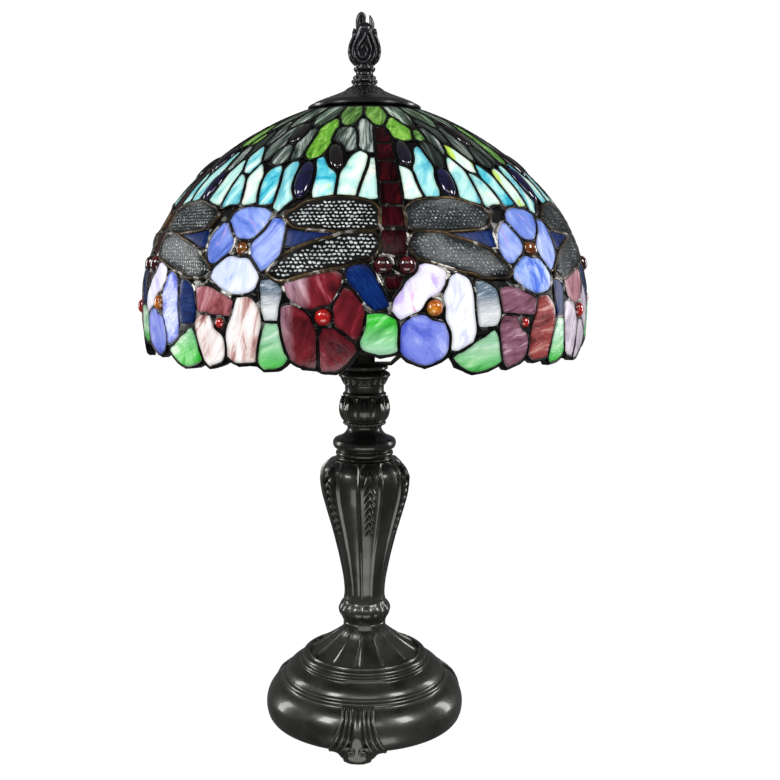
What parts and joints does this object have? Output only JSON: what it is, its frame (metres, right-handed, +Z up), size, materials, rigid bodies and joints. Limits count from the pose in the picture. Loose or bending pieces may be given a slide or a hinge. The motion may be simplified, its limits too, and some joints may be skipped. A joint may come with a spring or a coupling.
{
  "type": "stained glass table lamp",
  "caption": "Table lamp with a domed leaded glass shade in a dragonfly and flower pattern, on a fluted dark bronze stem with three scroll feet, a pierced cap and a flame finial.",
  "frame": {"origin": "on the lamp axis at the surface that the feet stand on", "axes": "+Z up along the lamp axis, -Y towards the front, where the first scroll foot and the first dragonfly are"},
  "size_m": [0.3051, 0.3051, 0.501],
  "materials": {
    "bronze": "dark antique bronze over cast zinc and iron, satin",
    "iron": "rough sand cast",
    "felt": "dark green felt",
    "brass": "satin",
    "rubber": "matt",
    "dark_brass": "dark antique bronze plating",
    "card": "insulating paperboard",
    "phenolic": "moulded insulator",
    "bulb_metal": "bright",
    "bulb_glass": "frosted white",
    "solder": "lead solder with dark patina, bright highlights",
    "crown_leaf": "rippled green opalescent art glass",
    "bright_leaf": "rippled bright green art glass",
    "dark_leaf": "textured grey green art glass",
    "sky": "streaky aqua and white opalescent glass",
    "oval": "dark polished oval cabochons",
    "ruby": "dark ruby glass",
    "eye": "polished ruby cabochons",
    "wing": "grey glass under pierced metal filigree",
    "navy": "navy glass",
    "blue": "streaky periwinkle blue opalescent glass",
    "red": "burgundy opalescent glass",
    "rose": "mauve pink opalescent glass",
    "mauve": "red brown and mauve streaky glass",
    "pale": "pinkish white opalescent glass",
    "lilac": "white and lilac opalescent glass",
    "white": "milky white opalescent glass",
    "periwinkle": "deep periwinkle opalescent glass",
    "green": "streaky green opalescent glass",
    "clear": "clear rippled glass",
    "jewel": "amber and red pressed jewels"
  },
  "bodies": {
    "stand": {"base_casting": "bronze", "base_cone": "bronze", "scroll_feet": "bronze", "base_weight": "iron", "base_felt": "felt", "bottom_washer": "brass", "bottom_nut": "brass", "threaded_rod": "brass", "cord_grommet": "rubber", "waist_ring": "bronze", "stem_casting": "bronze", "laurel_sprays": "bronze", "neck_collar": "bronze", "lotus_bulb": "bronze", "neck_drum": "bronze", "neck_plate": "bronze", "harp_saddle": "dark_brass", "socket_cap": "dark_brass", "socket_shell": "dark_brass", "socket_liner": "card", "socket_core": "phenolic", "screw_shell": "brass", "centre_contact": "brass", "switch_barrel": "brass"},
    "key": {"switch_key": "phenolic"},
    "bulb": {"bulb_contact": "bulb_metal", "bulb_insulator": "phenolic", "bulb_base": "bulb_metal", "bulb_glass": "bulb_glass"},
    "harp": {"harp_wire": "dark_brass", "harp_seat": "dark_brass"},
    "ferrule_left": {"harp_ferrule_left": "dark_brass"},
    "ferrule_right": {"harp_ferrule_right": "dark_brass"},
    "stud": {"harp_stud": "brass"},
    "shade": {"shade_spider": "brass", "crown_ring": "brass", "shade_web": "solder", "crown_leaf_glass": "crown_leaf", "bright_leaf_glass": "bright_leaf", "dark_leaf_glass": "dark_leaf", "sky_glass": "sky", "body_glass": "ruby", "wing_glass": "wing", "navy_glass": "navy", "blue_petal_glass": "blue", "red_petal_glass": "red", "rose_petal_glass": "rose", "mauve_petal_glass": "mauve", "pale_petal_glass": "pale", "lilac_petal_glass": "lilac", "white_petal_glass": "white", "periwinkle_glass": "periwinkle", "green_border_glass": "green", "clear_glass": "clear", "oval_gems": "oval", "eye_gems": "eye", "flower_gems": "jewel"},
    "cap": {"vase_cap": "bronze"},
    "finial": {"finial_collar": "bronze", "finial_flame": "bronze"}
  },
  "joints": [
    {"name": "switch_turn", "type": "hinge", "parent": "stand", "child": "key", "pos_m": [0, 0, 0.3], "axis": [0.6428, -0.766, 0], "continuous": true},
    {"name": "bulb_unscrew", "type": "slide", "parent": "stand", "child": "bulb", "axis": [0, 0, 1], "range_m": [0, 0.026]},
    {"name": "harp_lift", "type": "slide", "parent": "stand", "child": "harp", "axis": [0, 0, 1], "range_m": [0, 0.03]},
    {"name": "ferrule_left_slide", "type": "slide", "parent": "harp", "child": "ferrule_left", "axis": [0, 0, 1], "range_m": [0, 0.012]},
    {"name": "ferrule_right_slide", "type": "slide", "parent": "harp", "child": "ferrule_right", "axis": [0, 0, 1], "range_m": [0, 0.012]},
    {"name": "shade_swivel", "type": "hinge", "parent": "harp", "child": "stud", "pos_m": [0, 0, 0.427], "axis": [0, 0, 1], "continuous": true},
    {"name": "shade_lift", "type": "slide", "parent": "stud", "child": "shade", "axis": [0, 0, 1], "range_m": [0, 0.2]},
    {"name": "cap_lift", "type": "slide", "parent": "shade", "child": "cap", "axis": [0, 0, 1], "range_m": [0, 0.05]},
    {"name": "finial_turn", "type": "hinge", "parent": "cap", "child": "finial", "pos_m": [0, 0, 0.451], "axis": [0, 0, 1], "continuous": true}
  ]
}
